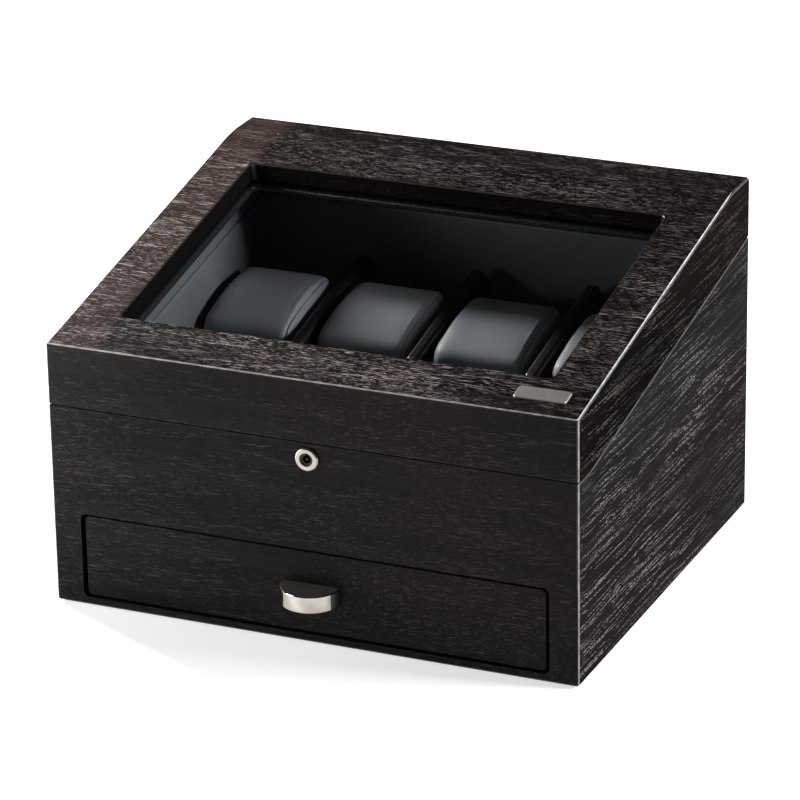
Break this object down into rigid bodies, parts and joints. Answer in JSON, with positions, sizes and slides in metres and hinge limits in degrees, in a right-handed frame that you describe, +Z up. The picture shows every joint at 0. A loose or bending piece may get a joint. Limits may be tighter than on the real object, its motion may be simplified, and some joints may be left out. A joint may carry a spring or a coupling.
{
  "type": "watch winder box",
  "caption": "Veneered winder cabinet: glazed sloping lid on butt hinges, belt-driven pairs of turning watch cushions, control deck, lock and storage drawer.",
  "frame": {"origin": "middle of the felt underside, on the surface the box stands on", "axes": "+Z up, +X to the right seen from the front, +Y to the back; the drawer opens towards -Y"},
  "size_m": [0.356, 0.3297, 0.231],
  "materials": {
    "wood_veneer": "satin open-grain veneer, charcoal stained",
    "stained_board": "matt black stained board",
    "leatherette": "fine-grained charcoal leatherette",
    "divider_leatherette": "black leatherette over board",
    "cushion_leatherette": "soft smooth charcoal leatherette",
    "velvet": "short black velvet",
    "felt": "black felt",
    "glass": "clear polished",
    "satin_nickel": "satin nickel",
    "chrome": "polished",
    "lock_steel": "blackened steel",
    "hinge_metal": "satin nickel plated steel",
    "shaft_steel": "ground",
    "motor_steel": "zinc plated",
    "black_plastic": "moulded",
    "belt_rubber": "matt",
    "circuit_board": "solder mask",
    "jack_plastic": "moulded",
    "wire_insulation": "smooth"
  },
  "bodies": {
    "base": {"base_front_panel": "wood_veneer", "base_left_panel": "wood_veneer", "base_right_panel": "wood_veneer", "base_back_panel": "wood_veneer", "base_bottom_panel": "stained_board", "shelf_panel": "stained_board", "felt_base_pad": "felt", "base_liner_left": "leatherette", "base_liner_right": "leatherette", "base_liner_front": "leatherette", "base_liner_back": "leatherette", "divider_left": "divider_leatherette", "divider_centre": "divider_leatherette", "divider_right": "divider_leatherette", "bearing_bushes": "black_plastic", "drive_belt_left": "belt_rubber", "drive_belt_right": "belt_rubber", "gear_motor_left": "motor_steel", "gear_motor_right": "motor_steel", "control_deck": "leatherette", "control_board": "circuit_board", "dc_jack": "jack_plastic", "wiring_harness": "wire_insulation", "hinge_base_leaves": "hinge_metal", "hinge_pins": "hinge_metal", "lock_body": "satin_nickel", "drawer_runners": "stained_board"},
    "lid": {"lid_top_panel": "wood_veneer", "lid_front_rail": "wood_veneer", "lid_left_rail": "wood_veneer", "lid_right_rail": "wood_veneer", "lid_back_rail": "wood_veneer", "lid_glass": "glass", "glass_retainer": "leatherette", "lid_liner": "leatherette", "name_plate": "satin_nickel", "hinge_lid_leaves": "hinge_metal", "lock_strike": "lock_steel"},
    "drawer": {"drawer_front": "wood_veneer", "drawer_sides": "stained_board", "drawer_back": "stained_board", "drawer_bottom": "stained_board", "drawer_insert": "velvet", "drawer_pull": "chrome"},
    "cushion_pair_left": {"drive_shaft_left": "shaft_steel", "driven_pulley_left": "black_plastic", "rotor_hubs_left": "black_plastic", "watch_cushion_1": "cushion_leatherette", "watch_cushion_2": "cushion_leatherette"},
    "cushion_pair_right": {"drive_shaft_right": "shaft_steel", "driven_pulley_right": "black_plastic", "rotor_hubs_right": "black_plastic", "watch_cushion_3": "cushion_leatherette", "watch_cushion_4": "cushion_leatherette"},
    "motor_pulley_left": {"motor_pulley_left": "shaft_steel"},
    "motor_pulley_right": {"motor_pulley_right": "shaft_steel"},
    "selector_knob_left": {"selector_knob_left": "black_plastic"},
    "selector_knob_right": {"selector_knob_right": "black_plastic"},
    "power_rocker": {"power_rocker": "black_plastic"},
    "lock_plug": {"lock_plug": "lock_steel"}
  },
  "joints": [
    {"name": "lid_hinge", "type": "hinge", "parent": "base", "child": "lid", "pos_m": [0, 0.1558, 0.19043], "axis": [-1, 0, 0], "range_deg": [0, 100]},
    {"name": "drawer_slide", "type": "slide", "parent": "base", "child": "drawer", "axis": [0, -1, 0], "range_m": [0, 0.17]},
    {"name": "cushion_spin_left", "type": "hinge", "parent": "base", "child": "cushion_pair_left", "pos_m": [-0.082, 0.0582, 0.12], "axis": [1, 0, 0], "continuous": true},
    {"name": "cushion_spin_right", "type": "hinge", "parent": "base", "child": "cushion_pair_right", "pos_m": [0.082, 0.0582, 0.12], "axis": [1, 0, 0], "continuous": true},
    {"name": "motor_spin_left", "type": "hinge", "parent": "base", "child": "motor_pulley_left", "pos_m": [-0.082, -0.0425, 0.093], "axis": [1, 0, 0], "continuous": true},
    {"name": "motor_spin_right", "type": "hinge", "parent": "base", "child": "motor_pulley_right", "pos_m": [0.082, -0.0425, 0.093], "axis": [1, 0, 0], "continuous": true},
    {"name": "selector_turn_left", "type": "hinge", "parent": "base", "child": "selector_knob_left", "pos_m": [-0.045, -0.0925, 0.121], "axis": [0, 0, 1], "range_deg": [-135, 135]},
    {"name": "selector_turn_right", "type": "hinge", "parent": "base", "child": "selector_knob_right", "pos_m": [0.045, -0.0925, 0.121], "axis": [0, 0, 1], "range_deg": [-135, 135]},
    {"name": "power_switch_tilt", "type": "hinge", "parent": "base", "child": "power_rocker", "pos_m": [0, -0.0925, 0.121], "axis": [0, -1, 0], "range_deg": [0, 18]},
    {"name": "lock_turn", "type": "hinge", "parent": "base", "child": "lock_plug", "pos_m": [0, -0.1525, 0.1251], "axis": [0, -1, 0], "range_deg": [0, 110]}
  ],
  "couplings": [
    {"joint": "motor_spin_left", "follows": "cushion_spin_left", "ratio": 2.5},
    {"joint": "motor_spin_right", "follows": "cushion_spin_right", "ratio": 2.5}
  ]
}
